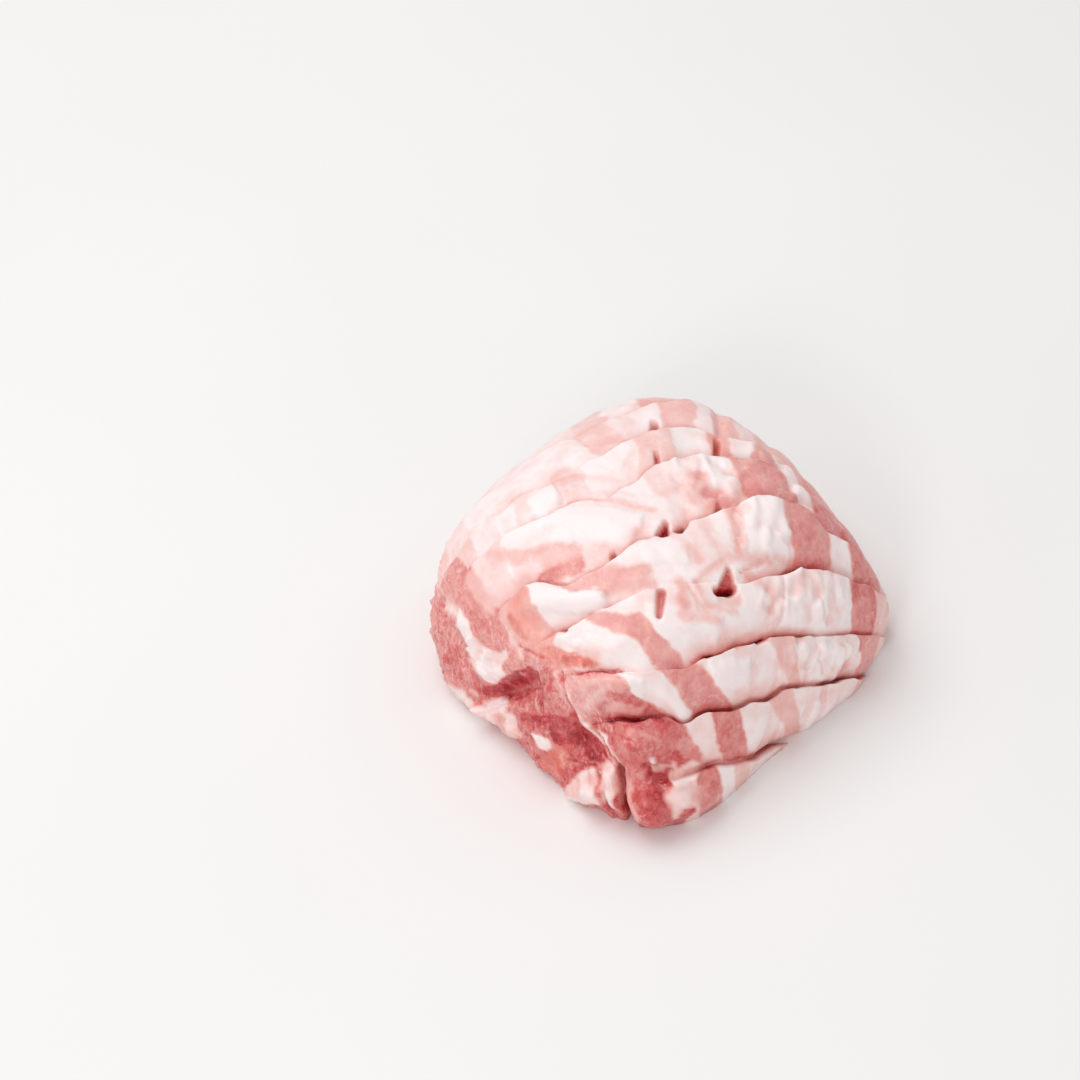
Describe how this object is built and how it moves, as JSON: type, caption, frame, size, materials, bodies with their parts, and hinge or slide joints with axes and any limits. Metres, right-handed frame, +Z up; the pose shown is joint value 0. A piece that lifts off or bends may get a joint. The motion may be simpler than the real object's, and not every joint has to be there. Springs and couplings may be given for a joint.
{
  "type": "pork belly slab",
  "caption": "Folded slab of skinless raw pork belly lying in a dome, scored crosswise so that it opens into overlapping strips of fat and lean over a marbled red lean end.",
  "frame": {"origin": "centre of the footprint's bounding box, on the resting face", "axes": "X along the score cuts, lean end at -X; Y from front to back; Z up"},
  "size_m": [0.114, 0.1208, 0.054],
  "materials": {
    "raw_pork_belly": null
  },
  "bodies": {
    "root": {"pork_belly_slab": "raw_pork_belly"}
  },
  "joints": []
}
